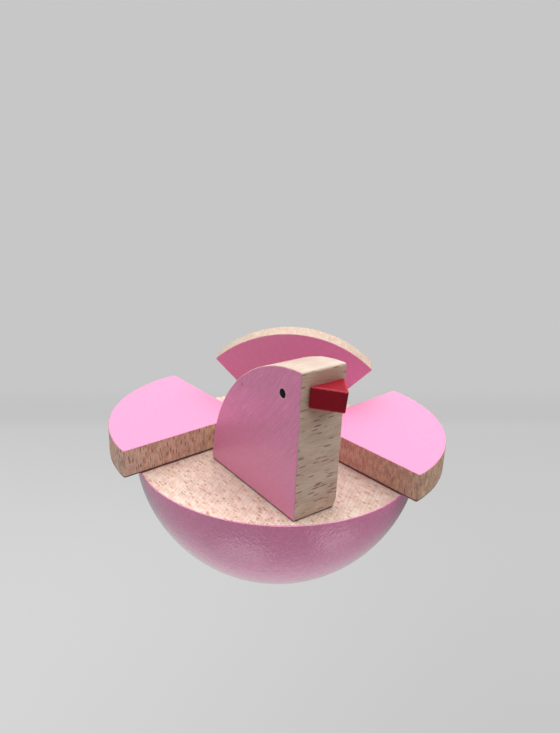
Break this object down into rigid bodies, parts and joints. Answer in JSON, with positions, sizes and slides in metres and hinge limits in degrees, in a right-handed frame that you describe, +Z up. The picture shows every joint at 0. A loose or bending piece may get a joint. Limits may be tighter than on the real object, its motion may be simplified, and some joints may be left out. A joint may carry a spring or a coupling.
{
  "type": "rocking bird toy",
  "caption": "Wooden bird on a half ball that rocks, with a head, two wings and a tail that turn on dowels in its flat deck.",
  "frame": {"origin": "middle of the small flat under the half ball, which the toy stands on", "axes": "+Z up, -Y the way the bird faces, +X towards the bird's left wing"},
  "size_m": [0.1068, 0.0896, 0.0832],
  "materials": {
    "pink_paint": "satin paint over beech",
    "bare_beech": "bare, sanded",
    "red_paint": "satin paint over beech",
    "black_stain": "black stain, semi-gloss"
  },
  "bodies": {
    "base": {"body": "pink_paint"},
    "head": {"head_block": "pink_paint", "beak": "red_paint", "beak_peg": "bare_beech", "left_eye": "black_stain", "right_eye": "black_stain", "head_dowel": "bare_beech"},
    "left_wing": {"left_wing": "pink_paint", "left_wing_dowel": "bare_beech"},
    "right_wing": {"right_wing": "pink_paint", "right_wing_dowel": "bare_beech"},
    "tail": {"tail": "pink_paint", "tail_dowel": "bare_beech"}
  },
  "joints": [
    {"name": "head_swivel", "type": "hinge", "parent": "base", "child": "head", "pos_m": [0.0005, -0.02218, 0.04152], "axis": [0, 0, 1], "continuous": true},
    {"name": "left_wing_swivel", "type": "hinge", "parent": "base", "child": "left_wing", "pos_m": [0.0229, 0.00244, 0.04152], "axis": [0, 0, 1], "range_deg": [-19, 19]},
    {"name": "right_wing_swivel", "type": "hinge", "parent": "base", "child": "right_wing", "pos_m": [-0.0245, 0.00244, 0.04152], "axis": [0, 0, 1], "range_deg": [-24, 24]},
    {"name": "tail_swivel", "type": "hinge", "parent": "base", "child": "tail", "pos_m": [0.0023, 0.02462, 0.04152], "axis": [0, 0, 1], "range_deg": [-45, 45]}
  ]
}
